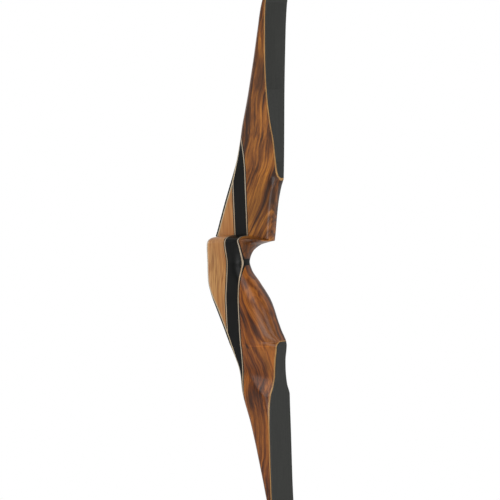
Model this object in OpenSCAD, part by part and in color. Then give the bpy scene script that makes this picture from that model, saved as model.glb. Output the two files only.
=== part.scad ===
// One-piece laminated recurve bow, right-handed and unstrung, in millimetres.
// The origin is the deepest point of the grip's throat, on the centreline.
// +Z runs up the bow, +Y points at the target and -X is the sight-window side.

/* [Limbs] */
// Width of each limb where it leaves the riser
limb_w = 42.5; // [38:0.5:48]
// Width of each limb at its string nock
nock_w = 15; // [12:0.5:18]
// Length of each limb from the riser to its nock, along the belly
limb_len = 468; // [430:4:520]
// Lean of the limbs towards the archer where they leave the riser, in degrees
limb_cant = 12.5; // [9:0.5:16]
// Forward turn of each limb from the riser to the nock, in degrees
recurve_turn = 72; // [55:1:85]
// Length of the tip beyond the nock
tip_len = 20; // [16:1:26]

/* [Laminations] */
// Thickness of the glass on the back and the belly
glass_t = 1.3; // [0.8:0.05:1.5]
// Thickness of each wood lamination at the riser
lam_t = 1.4; // [1.1:0.1:2]
// Thickness of each wood lamination at the nock
lam_tip_t = 1.1; // [0.9:0.1:1.4]
// Thickness of the stiffening wedge at the nock
wedge_t = 3; // [2:0.25:4.5]
// Length of the stiffening wedge up to the nock
wedge_len = 150; // [110:5:190]
// Thickness of the tip overlay at the nock
overlay_t = 5; // [4:0.25:6.5]
// Length of the tip overlay up to the nock
overlay_len = 40; // [30:2:60]

/* [String nocks] */
// Width of the string groove
groove_w = 4.5; // [3.5:0.25:6]
// Depth of the string groove in each edge of the tip
groove_d = 2.4; // [1.8:0.2:3]
// Depth of the string groove across the overlay
saddle_d = 1.4; // [0.8:0.2:2]

/* [Riser] */
// Height of the upper fade-out above the throat
riser_up = 308; // [290:2:330]
// Depth of the lower fade-out below the throat
riser_down = 296; // [280:2:320]
// Reach of the back of the riser ahead of the throat
back_reach = 48.2; // [44:0.2:52]
// Reach of the belly of the window block behind the throat
belly_reach = 37.8; // [34:0.4:41]
// Height above the throat at which the upper belly glass ends
upper_glass_z = 97; // [88:1:108]
// Width of the riser block beside the window, measured from the centreline
block_reach = 19.6; // [17:0.2:21]
// Extra thickness of the black back along the middle of the riser
back_cap = 1.1; // [0.6:0.1:1.6]

/* [Sight window] */
// Height of the arrow shelf above the throat
shelf_z = 30.5; // [27:0.5:34]
// Reach of the shelf's lip from the centreline
shelf_reach = 16.8; // [14:0.4:19]
// Fall of the rounded shelf from the window to its lip
shelf_drop = 10; // [7:0.5:12]
// Radius of the shelf's crown along the arrow
crown_r = 165; // [140:5:300]
// How far the window is cut past the centreline
window_cut = 4.4; // [1:0.2:6]
// Height of the flat part of the window above the shelf
window_flat = 74; // [64:1:84]

/* [Grip] */
// Width of the grip at the throat
throat_w = 27.6; // [24:0.4:32]
// Width of the grip at the palm swell
palm_w = 40.6; // [36:0.4:44]
// Width of the riser at the waist below the grip
waist_w = 37; // [33:0.5:41]
// Depth of the heel of the grip below the throat
heel_z = 94; // [88:1:100]
// Height of the lower belly glass's arched end above the heel
arch_rise = 4; // [2:0.5:6]
// Reach of the heel behind the throat
heel_reach = 48; // [44:0.5:51]

/* [Accent stripe] */
// Thickness of the black centre of the stripe
accent_t = 16; // [12:0.2:18]
// Thickness of each pale veneer
pale_t = 1.2; // [0.8:0.1:1.6]
// Thickness of each black veneer
black_t = 1.1; // [0.9:0.1:1.6]
// How much of the belly veneer the throat cuts away
throat_bite = 0.3; // [0:0.1:0.7]
// Forward lean of the stripe at the throat, in degrees
stripe_lean = 3.3; // [2.5:0.1:4.5]
// Radius of the bow that the stripe makes towards the target
stripe_r = 7700; // [5000:100:12000]

/* [Hidden] */

// Thinnest edge that a tapered piece keeps
feather = 0.3;
// Laminations lean with the limbs, so they measure more along Y than across
along_y = 1 / cos(limb_cant);
stack_t = (2 * (glass_t + lam_t) + feather) * along_y;
// Belly surface of each limb where it leaves the riser
upper_root_y = -belly_reach * 1.148;
lower_root_y = -heel_reach * 1.1145;
upper_back_y = upper_root_y + stack_t;
lower_back_y = lower_root_y + stack_t;
shelf_base = shelf_z - shelf_drop;
window_top = shelf_z + window_flat;
runout = riser_up - window_top;
crown_y = back_reach * 0.3;
side_cut = shelf_reach + window_cut;

function mix(a, b, t) = a + (b - a) * t;
// Heights by their share of the way from one feature to the next
function below_heel(share) = mix(-heel_z, -riser_down, share);
function above_shelf(share) = mix(shelf_z, riser_up, share);
function above_glass(share) = mix(upper_glass_z, riser_up, share);
waist_z = below_heel(0.129);
flare_z = below_heel(0.287);
lower_glass_z = -heel_z + arch_rise;
function clamp(v, lo, hi) = min(max(v, lo), hi);
function ease(t) = let(c = clamp(t, 0, 1)) c * c * (3 - 2 * c);

// Smooth line through points [height, value], which never overshoots them
function rise(p, i) = (p[i + 1][1] - p[i][1]) / (p[i + 1][0] - p[i][0]);
function tangent(p, i) =
    i == 0 ? rise(p, 0) :
    i == len(p) - 1 ? rise(p, i - 1) :
    let(a = rise(p, i - 1), b = rise(p, i)) a * b <= 0 ? 0 : 2 * a * b / (a + b);
function stretch(p, z, i = 0) = i >= len(p) - 2 || z <= p[i + 1][0] ? i : stretch(p, z, i + 1);
function line(p, z) =
    let(
        zc = clamp(z, p[0][0], p[len(p) - 1][0]),
        i = stretch(p, zc),
        h = p[i + 1][0] - p[i][0],
        t = (zc - p[i][0]) / h,
        d = p[i + 1][1] - p[i][1],
        m0 = tangent(p, i) * h,
        m1 = tangent(p, i + 1) * h
    )
    p[i][1] + t * (m0 + t * (3 * d - 2 * m0 - m1 + t * (m0 + m1 - 2 * d)));

// Side view: the outer back and belly of the riser as [height, reach along Y]
function low_back(z, share) = [z, mix(lower_back_y, back_reach, share)];
function high_back(share_z, share) = [above_shelf(share_z), mix(upper_back_y, back_reach, share)];
back_line = [
    low_back(-riser_down, 0), low_back(below_heel(0.723), 0.15), low_back(below_heel(0.455), 0.309),
    low_back(below_heel(0.277), 0.441), low_back(below_heel(0.149), 0.498),
    low_back(below_heel(0.053), 0.572), low_back(-heel_z * 0.904, 0.654), low_back(-heel_z * 0.564, 0.81),
    low_back(-heel_z * 0.213, 0.966), low_back(shelf_z * 0.39, 0.996),
    high_back(0, 1), high_back(0.025, 0.972), high_back(0.1135, 0.872), high_back(0.229, 0.741),
    high_back(0.305, 0.667), high_back(0.384, 0.59), high_back(0.56, 0.368), high_back(0.7, 0.234),
    high_back(0.845, 0.128), high_back(0.93, 0.07), high_back(1, 0)
];
function grip_belly(share_z, share) = [-heel_z * share_z, -heel_reach * share];
function beak_belly(z, share) = [z, -belly_reach * share];
belly_line = [
    [-riser_down, lower_root_y], [below_heel(0.876), lower_root_y + 3.1],
    [below_heel(0.525), -heel_reach + 0.6], [below_heel(0.198), -heel_reach + 2.8],
    [below_heel(0.089), -heel_reach + 2.2], grip_belly(1, 1), grip_belly(0.81, 0.845),
    grip_belly(0.5, 0.621), grip_belly(0.234, 0.264), grip_belly(0.106, 0.067), grip_belly(0, 0),
    beak_belly(shelf_base * 0.34, 0.035), beak_belly(shelf_base * 0.66, 0.1),
    beak_belly(shelf_base + shelf_drop * 0.1, 0.272), beak_belly(shelf_base + shelf_drop * 0.48, 0.452),
    beak_belly(shelf_base + shelf_drop * 0.73, 0.592), beak_belly(shelf_base + shelf_drop * 0.95, 0.706),
    beak_belly(shelf_z + 4, 0.714), beak_belly(mix(shelf_z, upper_glass_z, 0.534), 0.8),
    beak_belly(mix(shelf_z, upper_glass_z, 0.865), 0.926), beak_belly(upper_glass_z, 1.003),
    beak_belly(above_glass(0.18), 1.012), beak_belly(above_glass(0.422), 1.012),
    beak_belly(above_glass(0.796), 1.045), beak_belly(above_glass(0.938), 1.087),
    [riser_up, upper_root_y]
];

// Front view: the outermost reach of each side of the riser as [height, X]
shelf_square = 0.76;
function shelf_height(a) = shelf_base + shelf_drop * pow(sin(a), shelf_square);
function shelf_x(a) = window_cut - side_cut * pow(cos(a), shelf_square);
shelf_arc = [for (a = [0:18:90]) [shelf_height(a), shelf_x(a)]];
function window_side(share_z, share_x) =
    [window_top + runout * share_z, window_cut - (limb_w / 2 + window_cut) * share_x];
near_line = concat(
    [
        [-riser_down, -limb_w / 2], [flare_z, -limb_w / 2 + 0.3], [waist_z, -waist_w / 2],
        [-heel_z - 4, -palm_w / 2 + 1], [-heel_z + 1, -palm_w / 2 + 0.2],
        [-heel_z + 19, -palm_w / 2], [-heel_z * 0.5, -palm_w / 2 + 0.3],
        [-heel_z * 0.128, mix(-throat_w, -palm_w, 0.2) / 2], [0, -throat_w / 2]
    ],
    shelf_arc,
    [
        [window_top, window_cut], window_side(0.16, 0.165), window_side(0.27, 0.43),
        window_side(0.4, 0.66), window_side(0.6, 0.86), [riser_up, -limb_w / 2]
    ]
);
far_line = [
    [-riser_down, limb_w / 2], [flare_z, limb_w / 2 - 0.3], [waist_z, waist_w / 2],
    [-heel_z - 4, palm_w / 2 - 1], [-heel_z + 1, palm_w / 2 - 0.2],
    [-heel_z + 19, palm_w / 2], [-heel_z * 0.5, palm_w / 2 - 0.3],
    [-heel_z * 0.128, mix(throat_w, palm_w, 0.2) / 2], [0, throat_w / 2],
    [shelf_base, block_reach - 3], [mix(shelf_z, window_top, 0.135), block_reach - 0.8],
    [window_top, block_reach], [window_top + runout * 0.607, limb_w / 2 - 0.9],
    [riser_up, limb_w / 2]
];

// The same two sides where they meet the belly surface
near_belly = [
    [-riser_down, -limb_w / 2 + 0.7], [below_heel(0.5), -limb_w / 2 + 1.2],
    [below_heel(0.381), -limb_w / 2 + 2.3], [flare_z, -limb_w * 0.37],
    [below_heel(0.223), -waist_w * 0.257], [below_heel(0.165), -waist_w * 0.186],
    [below_heel(0.03), -waist_w * 0.187], [below_heel(0.01), -waist_w * 0.21],
    [-heel_z + arch_rise * 0.5, -palm_w * 0.1], [lower_glass_z, -palm_w * 0.025],
    [-heel_z * 0.638, -palm_w * 0.086], [0, -throat_w * 0.072], [shelf_base * 0.61, 0],
    [shelf_base, 5], [shelf_base + shelf_drop * 0.6, 9], [shelf_z + 1, window_cut + 5.6],
    [mix(shelf_z, upper_glass_z, 0.82), mix(window_cut, block_reach, 0.5)],
    [upper_glass_z, mix(window_cut, block_reach, 0.8)],
    [window_top, mix(window_cut, block_reach, 0.38)],
    window_side(0.08, 0.02), window_side(0.16, 0.165),
    window_side(0.4, 0.65), [riser_up, -limb_w / 2 + 0.6]
];
far_belly = [
    [-riser_down, limb_w / 2 - 0.7], [flare_z, limb_w / 2 - 0.8],
    [below_heel(0.223), waist_w * 0.415], [waist_z, waist_w * 0.322],
    [below_heel(0.03), waist_w * 0.287], [lower_glass_z, palm_w * 0.252], [-heel_z * 0.84, palm_w * 0.218],
    [-heel_z * 0.638, palm_w * 0.123], [0, throat_w * 0.072], [shelf_base * 0.61, throat_w * 0.18],
    [shelf_base, block_reach - 8.6], [shelf_base + shelf_drop * 0.6, block_reach - 3],
    [mix(shelf_z, window_top, 0.176), block_reach - 1.4], [window_top, block_reach - 0.5],
    [riser_up, limb_w / 2 - 0.6]
];

// How deep the rounding of each belly edge reaches into the riser
near_round = [
    [-riser_down, 1], [below_heel(0.5), 1.4], [below_heel(0.381), 3], [flare_z, 8],
    [below_heel(0.223), 22], [waist_z, 34], [-heel_z, 34],
    [-heel_z * 0.638, 26], [-heel_z * 0.32, 18], [0, 14], [shelf_base * 0.61, 20], [shelf_base, 25],
    [shelf_base + shelf_drop * 0.7, 24], [shelf_z + 1, 6.5],
    [mix(shelf_z, upper_glass_z, 0.82), 7], [upper_glass_z, 13], [window_top, 10],
    [window_top + runout * 0.08, 5], [window_top + runout * 0.175, 1.6], [riser_up, 1]
];
far_round = [
    [-riser_down, 1], [flare_z, 1.4], [below_heel(0.223), 22], [waist_z, 32], [-heel_z, 30],
    [-heel_z * 0.638, 24], [-heel_z * 0.32, 18], [0, 14], [shelf_base * 0.61, 16],
    [shelf_base + shelf_drop * 0.6, 8], [mix(shelf_z, window_top, 0.176), 4],
    [upper_glass_z, 2.4], [riser_up, 1]
];
// Radius of the rounding along each back edge: crisp beside the window and below the fingers
low_back_round = [
    [-riser_down, 0.9], [below_heel(0.723), 3], [below_heel(0.455), 5], [below_heel(0.277), 6]
];
high_back_round = [
    [above_shelf(0.305), 3.6], [above_shelf(0.384), 5.4], [above_shelf(0.56), 5],
    [above_shelf(0.845), 2.5], [riser_up, 0.9]
];
near_back_round = concat(
    low_back_round,
    [
        [below_heel(0.149), 5], [below_heel(0.084), 4], [-heel_z * 0.904, 0.8], [-heel_z * 0.564, 1],
        [-heel_z * 0.34, 5], [-heel_z * 0.213, 6.5], [shelf_base * 0.49, 6.5], [shelf_base, 6],
        [shelf_z, 5], [shelf_z + 1.2, 0.5], [above_shelf(0.2), 0.5], [above_shelf(0.25), 1.4]
    ],
    high_back_round
);
far_back_round = concat(
    low_back_round,
    [
        [below_heel(0.149), 4.4], [-heel_z * 0.904, 4.6], [-heel_z * 0.426, 6.5], [shelf_base * 0.49, 6.5],
        [shelf_z + 4, 4.6], [above_shelf(0.229), 3]
    ],
    high_back_round
);

// Extra half width along the back of the grip, over the fingers
flare_line = [
    [-heel_z * 0.745, 0], [-heel_z * 0.426, 1.2], [-heel_z * 0.191, 3.2], [0, 3.6],
    [shelf_base * 0.61, 1.5], [shelf_base, 0]
];
flare_depth = 18;

// Quarter-round: 0 at the edge and 1 where the rounding ends
function quarter(t) = let(c = clamp(t, 0, 1)) sqrt(1 - (1 - c) * (1 - c));
// The rounding of the belly edges flattens down the palm and is a plain bevel below the heel's crease
palm_z = -heel_z * 0.73;
crease_z = -heel_z * 1.01;
function bevel_share(z) = let(c = clamp((palm_z - z) / (palm_z - crease_z), 0, 1)) c * c;
function belly_fall(t, z) = mix(quarter(t), clamp(t, 0, 1), bevel_share(z));
function edge_x(y, z, side_line, belly_edge, round_line, back_round, hand) =
    let(
        side = line(side_line, z) + hand * line(flare_line, z) * ease((y - stripe_y(4, z)) / flare_depth),
        face = line(belly_edge, z),
        r = line(back_round, z),
        fall = belly_fall((y - line(belly_line, z)) / line(round_line, z), z),
        nip = r * (1 - quarter((line(back_line, z) - y) / r))
    )
    mix(face, side, fall) - hand * nip;
function near_x(y, z) = edge_x(y, z, near_line, near_belly, near_round, near_back_round, -1);
function far_x(y, z) = edge_x(y, z, far_line, far_belly, far_round, far_back_round, 1);

// The crown of the shelf bends every level near it into an arch
function crown_share(z) = ease(z / shelf_base) * (1 - ease((z - shelf_z - 2) / (window_flat * 0.676)));
function crowned(y, z) = z - crown_share(z) * (y - crown_y) * (y - crown_y) / (2 * crown_r);

// Belly glass and lamination stop at the window and at the heel, the lamination a rim later
upper_rim = 3;
lower_rim = 1.2;
function ramp_share(past) = past < 0 ? 0 : clamp(0.3 + past / 3, 0, 1);
function ramp_glass_t(z) = glass_t * along_y * ramp_share(max(z - upper_glass_z, lower_glass_z - z));
function ramp_lam_t(z) =
    lam_t * along_y * ramp_share(max(z - upper_glass_z + upper_rim, lower_glass_z + lower_rim - z));

// Glue lines of the accent stripe, counted from the belly
stripe = [0, black_t, pale_t, accent_t, pale_t, black_t];
function stripe_sum(i) = i == 0 ? 0 : stripe[i] + stripe_sum(i - 1);
function stripe_y(i, z) = -throat_bite + z * tan(stripe_lean) - z * z / (2 * stripe_r) + stripe_sum(i);

// The black back is thicker from the heel to the sight window, and thins beyond them to plain glass
cap_run = 32;
function cap_share(z) =
    ease((z + heel_z * 0.9 + cap_run) / cap_run) * (1 - ease((z - above_shelf(0.2)) / cap_run));
function back_black_t(z) = glass_t * along_y + back_cap * cap_share(z);

// Glue lines of the riser from its belly (0) to its back (11) at one height
function under_back(z) = line(back_line, z) - back_black_t(z) - lam_t * along_y;
function glue_y(k, z) =
    k == 0 ? line(belly_line, z) :
    k == 1 ? line(belly_line, z) + ramp_glass_t(z) :
    k == 2 ? line(belly_line, z) + ramp_glass_t(z) + ramp_lam_t(z) :
    k <= 8 ? min(max(stripe_y(k - 3, z), glue_y(2, z)), under_back(z)) :
    k == 9 ? under_back(z) :
    k == 10 ? line(back_line, z) - back_black_t(z) :
    line(back_line, z);

// Levels at which the riser's outline is drawn, closer where it turns
function span(a, b, n) = [for (i = [0:n - 1]) mix(a, b, i / n)];
levels = concat(
    span(-riser_down, flare_z, 9), span(flare_z, below_heel(0.03), 8),
    span(below_heel(0.03), crease_z, 3), span(crease_z, lower_glass_z, 3),
    span(lower_glass_z, lower_glass_z + lower_rim, 1),
    span(lower_glass_z + lower_rim, -heel_z * 0.19, 10), span(-heel_z * 0.19, shelf_base, 13),
    [for (p = shelf_arc) p[0]],
    span(shelf_z + 1.2, upper_glass_z - upper_rim, 8), span(upper_glass_z - upper_rim, upper_glass_z, 2),
    span(upper_glass_z, above_glass(0.02), 3), span(above_glass(0.02), above_glass(0.3), 10),
    span(above_glass(0.3), riser_up, 10), [riser_up]
);

// Solid skin over a list of rings, each going up the near side and down the far one
module loft(rings) {
    n = len(rings[0]);
    m = len(rings);
    points = [for (ring = rings) for (p = ring) p];
    walls = [
        for (i = [0:m - 2]) for (j = [0:n - 1]) let(a = i * n + j, b = i * n + (j + 1) % n)
            each [[a, b, b + n], [a, b + n, a + n]]
    ];
    caps = [
        for (j = [0:n / 2 - 2]) let(q = n - 1 - j, top = (m - 1) * n)
            each [
                [j, q, q - 1], [j, q - 1, j + 1],
                [top + j, top + q - 1, top + q], [top + j, top + j + 1, top + q - 1]
            ]
    ];
    polyhedron(points, concat(walls, caps), convexity = 8);
}

// One layer of the riser between two glue lines
function layer_ring(k, z, shares) =
    let(lo = glue_y(k, z), hi = glue_y(k + 1, z))
    concat(
        [for (t = shares) let(y = mix(lo, hi, t)) [near_x(y, z), y, crowned(y, z)]],
        [
            for (i = [len(shares) - 1:-1:0]) let(y = mix(lo, hi, shares[i]))
                [far_x(y, z), y, crowned(y, z)]
        ]
    );
module riser_layer(k, z_from, z_to, shares = [0, 1]) {
    kept = [
        for (z = levels)
            if (z >= z_from && z <= z_to && glue_y(k + 1, z) - glue_y(k, z) > feather * 0.7) z
    ];
    loft([for (z = kept) layer_ring(k, z, shares)]);
}
belly_shares = [0, 0.03, 0.1, 0.22, 0.4, 0.65, 0.9, 1];
core_shares = [0, 0.15, 0.4, 0.7, 1];
back_shares = [0, 0.4, 0.7, 0.85, 0.94, 1];

module riser_upper_block() {
    color("#8a5527") riser_layer(2, 0, riser_up, belly_shares);
}
module riser_lower_block() {
    color("#8a5527") riser_layer(2, -riser_down, 0, belly_shares);
}
module belly_black_veneer() {
    color("#20221f") riser_layer(3, -riser_down, riser_up);
}
module belly_pale_veneer() {
    color("#c8a376") riser_layer(4, -riser_down, riser_up);
}
module accent_core() {
    color("#20221f") riser_layer(5, -riser_down, riser_up, core_shares);
}
module back_pale_veneer() {
    color("#b5aca0") riser_layer(6, -riser_down, riser_up);
}
module back_black_veneer() {
    color("#20221f") riser_layer(7, -riser_down, riser_up);
}
module riser_back_block() {
    color("#b98450") riser_layer(8, -riser_down, riser_up, back_shares);
}
module riser_back_lamination() {
    color("#cbb48c") riser_layer(9, -riser_down, riser_up);
}
module riser_back_glass() {
    color("#1c1c1b") riser_layer(10, -riser_down, riser_up);
}
module upper_ramp_lamination() {
    color("#c19a5f") riser_layer(1, 0, riser_up);
}
module upper_ramp_glass() {
    color("#3c3d3a") riser_layer(0, 0, riser_up);
}
module lower_ramp_lamination() {
    color("#c19a5f") riser_layer(1, -riser_down, 0);
}
module lower_ramp_glass() {
    color("#3c3d3a") riser_layer(0, -riser_down, 0);
}

// Belly line of a limb, stepped off from its root as [Y, Z]
path_steps = 120;
path_step = (limb_len + tip_len) / path_steps;
function limb_angle(s) = -limb_cant + recurve_turn * pow(s / limb_len, 2.4);
limb_path = [
    for (
        i = 0, p = [0, 0];
        i <= path_steps;
        p = p + path_step * [sin(limb_angle((i + 0.5) * path_step)), cos(limb_angle((i + 0.5) * path_step))],
        i = i + 1
    ) p
];
function limb_point(s) =
    let(i = min(floor(s / path_step), path_steps - 1))
    mix(limb_path[i], limb_path[i + 1], s / path_step - i);
// The root is cut level, to meet the riser face to face
function limb_normal(s) =
    s == 0 ? [along_y, 0] : [cos(limb_angle(s)), -sin(limb_angle(s))];

// Glue lines of a limb from its belly (0) to the back of the tip overlay (6)
function limb_lam(s) =
    mix(lam_t, lam_tip_t, min(s / limb_len, 1)) + feather / 2 * max(0, 1 - s / (limb_len * 0.064));
function wedge_at(s) =
    let(t = (s - limb_len + wedge_len) / wedge_len) t < 0 ? 0 : mix(feather, wedge_t, min(t, 1));
function saddle(s) = quarter(1 - abs(s - limb_len - groove_w) / (groove_w / 2));
function tip_fall(s) = overlay_t * 0.2 * ease((s - limb_len - tip_len * 0.45) / tip_len);
function overlay_at(s) =
    let(t = (s - limb_len + overlay_len) / overlay_len)
    t < 0 ? 0 : mix(feather, overlay_t, ease(t)) - saddle_d * saddle(s) - tip_fall(s);
function limb_u(k, s) =
    k == 0 ? 0 :
    k == 1 ? glass_t :
    k == 2 ? glass_t + limb_lam(s) :
    k == 3 ? limb_u(2, s) + wedge_at(s) :
    k == 4 ? limb_u(3, s) + limb_lam(s) :
    k == 5 ? limb_u(4, s) + glass_t :
    limb_u(5, s) + overlay_at(s);

// Half width of a limb: tapered, nocked at a slant and rounded at its end
function taper_w(s) = mix(limb_w, nock_w, pow(min(s / limb_len, 1), 1.35)) / 2;
function nock_bite(s, u) =
    let(off = s - limb_len - groove_w - 0.8 * (u - limb_u(5, limb_len)))
    groove_d * quarter(1 - abs(off) / (groove_w / 2));
function tip_round(s) =
    let(t = clamp(((s - limb_len) / tip_len - 0.4) / 0.6, 0, 1)) mix(1, sqrt(1 - t * t), 0.55);
function limb_half(s, u) = taper_w(s) * tip_round(s) - nock_bite(s, u);

limb_stops = concat(
    [0, glass_t * 5], span(glass_t * 20, limb_len - wedge_len, 18),
    span(limb_len - wedge_len, limb_len - overlay_len, 8),
    span(limb_len - overlay_len, limb_len - groove_w * 2, 5),
    span(limb_len - groove_w * 2, limb_len + groove_w * 2.7, 18),
    span(limb_len + groove_w * 2.7, limb_len + tip_len, 4), [limb_len + tip_len]
);
function limb_corner(s, u, hand) =
    let(p = limb_point(s) + u * limb_normal(s)) [hand * limb_half(s, u), p[0], p[1]];
module limb_layer(k, s_from) {
    loft([
        for (s = limb_stops)
            if (s >= s_from) let(lo = limb_u(k, s), hi = limb_u(k + 1, s)) [
                limb_corner(s, lo, -1), limb_corner(s, hi, -1),
                limb_corner(s, hi, 1), limb_corner(s, lo, 1)
            ]
    ]);
}
module on_upper() {
    translate([0, upper_root_y, riser_up]) children();
}
module on_lower() {
    translate([0, lower_root_y, -riser_down]) mirror([0, 0, 1]) children();
}

module limb_belly_glass() {
    color("#3c3d3a") limb_layer(0, 0);
}
module limb_belly_lamination() {
    color("#c19a5f") limb_layer(1, 0);
}
module limb_back_lamination() {
    color("#cbb48c") limb_layer(3, 0);
}
module limb_back_glass() {
    color("#1c1c1b") limb_layer(4, 0);
}
module tip_wedge() {
    color("#8a5527") limb_layer(2, limb_len - wedge_len);
}
module tip_overlay() {
    color("#20221f") limb_layer(5, limb_len - overlay_len);
}

riser_upper_block();
riser_lower_block();
riser_back_block();
accent_core();
belly_black_veneer();
belly_pale_veneer();
back_pale_veneer();
back_black_veneer();
riser_back_lamination();
riser_back_glass();
upper_ramp_lamination();
upper_ramp_glass();
lower_ramp_lamination();
lower_ramp_glass();
on_upper() limb_belly_glass();  // upper_limb_belly_glass
on_upper() limb_belly_lamination();  // upper_limb_belly_lamination
on_upper() limb_back_lamination();  // upper_limb_back_lamination
on_upper() limb_back_glass();  // upper_limb_back_glass
on_upper() tip_wedge();  // upper_tip_wedge
on_upper() tip_overlay();  // upper_tip_overlay
on_lower() limb_belly_glass();  // lower_limb_belly_glass
on_lower() limb_belly_lamination();  // lower_limb_belly_lamination
on_lower() limb_back_lamination();  // lower_limb_back_lamination
on_lower() limb_back_glass();  // lower_limb_back_glass
on_lower() tip_wedge();  // lower_tip_wedge
on_lower() tip_overlay();  // lower_tip_overlay
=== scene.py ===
"""One-piece laminated recurve bow, right-handed and unstrung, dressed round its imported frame.

Lengths are millimetres while a shape is worked out and metres once it is a mesh. The origin is the
deepest point of the grip's throat: +Z runs up the bow, +Y points at the target and -X is the side of
the sight window.
"""

import logging
import math
from dataclasses import dataclass, replace
from enum import Enum
from typing import Any

import bpy
import numpy as np
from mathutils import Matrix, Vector


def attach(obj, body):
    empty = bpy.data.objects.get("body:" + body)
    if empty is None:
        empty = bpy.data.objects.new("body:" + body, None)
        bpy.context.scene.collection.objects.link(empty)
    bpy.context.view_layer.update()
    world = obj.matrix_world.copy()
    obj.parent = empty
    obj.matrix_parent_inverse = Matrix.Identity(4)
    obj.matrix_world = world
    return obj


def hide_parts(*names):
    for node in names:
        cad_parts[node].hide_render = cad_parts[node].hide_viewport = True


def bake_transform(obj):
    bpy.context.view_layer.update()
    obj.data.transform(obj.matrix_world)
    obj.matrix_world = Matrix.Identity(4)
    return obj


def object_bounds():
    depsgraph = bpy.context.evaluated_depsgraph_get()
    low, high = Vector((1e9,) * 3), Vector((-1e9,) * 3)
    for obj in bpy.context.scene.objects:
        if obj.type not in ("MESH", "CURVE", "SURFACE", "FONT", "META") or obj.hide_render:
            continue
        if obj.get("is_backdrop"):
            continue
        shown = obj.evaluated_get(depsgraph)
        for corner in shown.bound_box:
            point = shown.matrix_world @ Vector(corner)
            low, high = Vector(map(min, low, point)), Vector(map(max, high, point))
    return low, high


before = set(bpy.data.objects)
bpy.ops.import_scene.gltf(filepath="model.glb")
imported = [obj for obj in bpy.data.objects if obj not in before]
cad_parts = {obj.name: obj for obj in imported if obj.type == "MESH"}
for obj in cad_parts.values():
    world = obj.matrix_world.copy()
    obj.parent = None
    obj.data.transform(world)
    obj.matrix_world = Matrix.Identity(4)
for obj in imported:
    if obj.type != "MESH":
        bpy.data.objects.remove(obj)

logging.basicConfig(level=logging.INFO, format="%(levelname)s %(message)s")
log = logging.getLogger("bow")

MM = 0.001
# The Mix node's two colour inputs, which share their names with its number inputs.
FIRST_COLOUR, SECOND_COLOUR = 6, 7
Points = tuple[tuple[float, float], ...]
Triple = tuple[float, float, float]
Tree, Node, Socket = bpy.types.NodeTree, bpy.types.Node, bpy.types.NodeSocket
Source = Node | Socket


def linear(hex_colour: str) -> tuple[float, float, float, float]:
    """Turns an sRGB hex colour into Blender's linear one.

    Args:
        hex_colour: Six hex digits, with or without a leading hash.

    Returns:
        Linear red, green, blue and an alpha of 1.
    """
    text = hex_colour.lstrip("#")
    parts = np.array([int(text[i:i + 2], 16) / 255 for i in (0, 2, 4)])
    low = parts / 12.92
    high = ((parts + 0.055) / 1.055) ** 2.4
    red, green, blue = np.where(parts <= 0.04045, low, high)
    return float(red), float(green), float(blue), 1.0


def per_mm(size: float) -> float:
    """Texture scale at which one feature of a pattern is this many millimetres."""
    return 1 / (size * MM)


def mix(a: Any, b: Any, share: Any) -> Any:
    """Straight blend from a to b by a share from 0 to 1."""
    return a + (b - a) * share


def ease(share: Any) -> Any:
    """Smooth step: 3t^2 - 2t^3 of the share held between 0 and 1."""
    held = np.clip(share, 0, 1)
    return held * held * (3 - 2 * held)


def quarter(share: Any) -> Any:
    """Quarter round: sqrt(1 - (1 - t)^2), 0 at the edge and 1 where the rounding ends."""
    held = np.clip(share, 0, 1)
    return np.sqrt(1 - (1 - held) ** 2)


@dataclass(frozen=True)
class HeightLine:
    """Smooth line through points of height and value that never overshoots them."""

    points: Points

    def at(self, z: np.ndarray) -> np.ndarray:
        """Value of the line at each height.

        Between two points it is the cubic whose end slopes are the harmonic means of the rises on both
        sides of a point, or level where the rise changes sign. Beyond its ends the line is level.

        Args:
            z: Heights in millimetres.

        Returns:
            The values, in the shape of z.
        """
        heights, values = np.array(self.points, float).T
        z = np.clip(np.asarray(z, float), heights[0], heights[-1])
        rises = np.diff(values) / np.diff(heights)
        before, after = rises[:-1], rises[1:]
        same = before * after > 0
        total = np.where(same, before + after, 1)
        slopes = np.concatenate([rises[:1], np.where(same, 2 * before * after / total, 0), rises[-1:]])
        i = np.clip(np.searchsorted(heights, z) - 1, 0, len(heights) - 2)
        span = heights[i + 1] - heights[i]
        t = (z - heights[i]) / span
        lift = values[i + 1] - values[i]
        start, end = slopes[i] * span, slopes[i + 1] * span
        return values[i] + t * (start + t * (3 * lift - 2 * start - end + t * (start + end - 2 * lift)))


def add_node(tree: Tree, kind: str, sockets: dict[Any, Any] | None = None, **settings: Any) -> Node:
    """Adds one node with its settings and links.

    Args:
        tree: The node tree it goes into.
        kind: Blender's name of the node after "ShaderNode".
        sockets: Inputs by name or number, each a value, an output socket to link, or a node whose first
            working output is linked.
        settings: Attributes to set on the node. "ramp" holds (position, hex colour) stops.

    Returns:
        The new node.
    """
    node = tree.nodes.new("ShaderNode" + kind)
    for name, value in settings.items():
        if name == "ramp":
            stops = node.color_ramp.elements
            while len(stops) < len(value):
                stops.new(0.5)
            for stop, (position, colour) in zip(stops, value):
                stop.position, stop.color = position, linear(colour)
        else:
            setattr(node, name, value)
    for name, value in (sockets or {}).items():
        if isinstance(value, Node):
            value = next(output for output in value.outputs if output.enabled)
        if isinstance(value, Socket):
            tree.links.new(value, node.inputs[name])
        else:
            node.inputs[name].default_value = value
    return node


def put_in_scene(name: str, data: bpy.types.ID) -> bpy.types.Object:
    """Makes an object and links it into the scene.

    Args:
        name: Its name.
        data: Its mesh, lamp or camera.

    Returns:
        The object.
    """
    thing = bpy.data.objects.new(name, data)
    bpy.context.scene.collection.objects.link(thing)
    return thing


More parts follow.
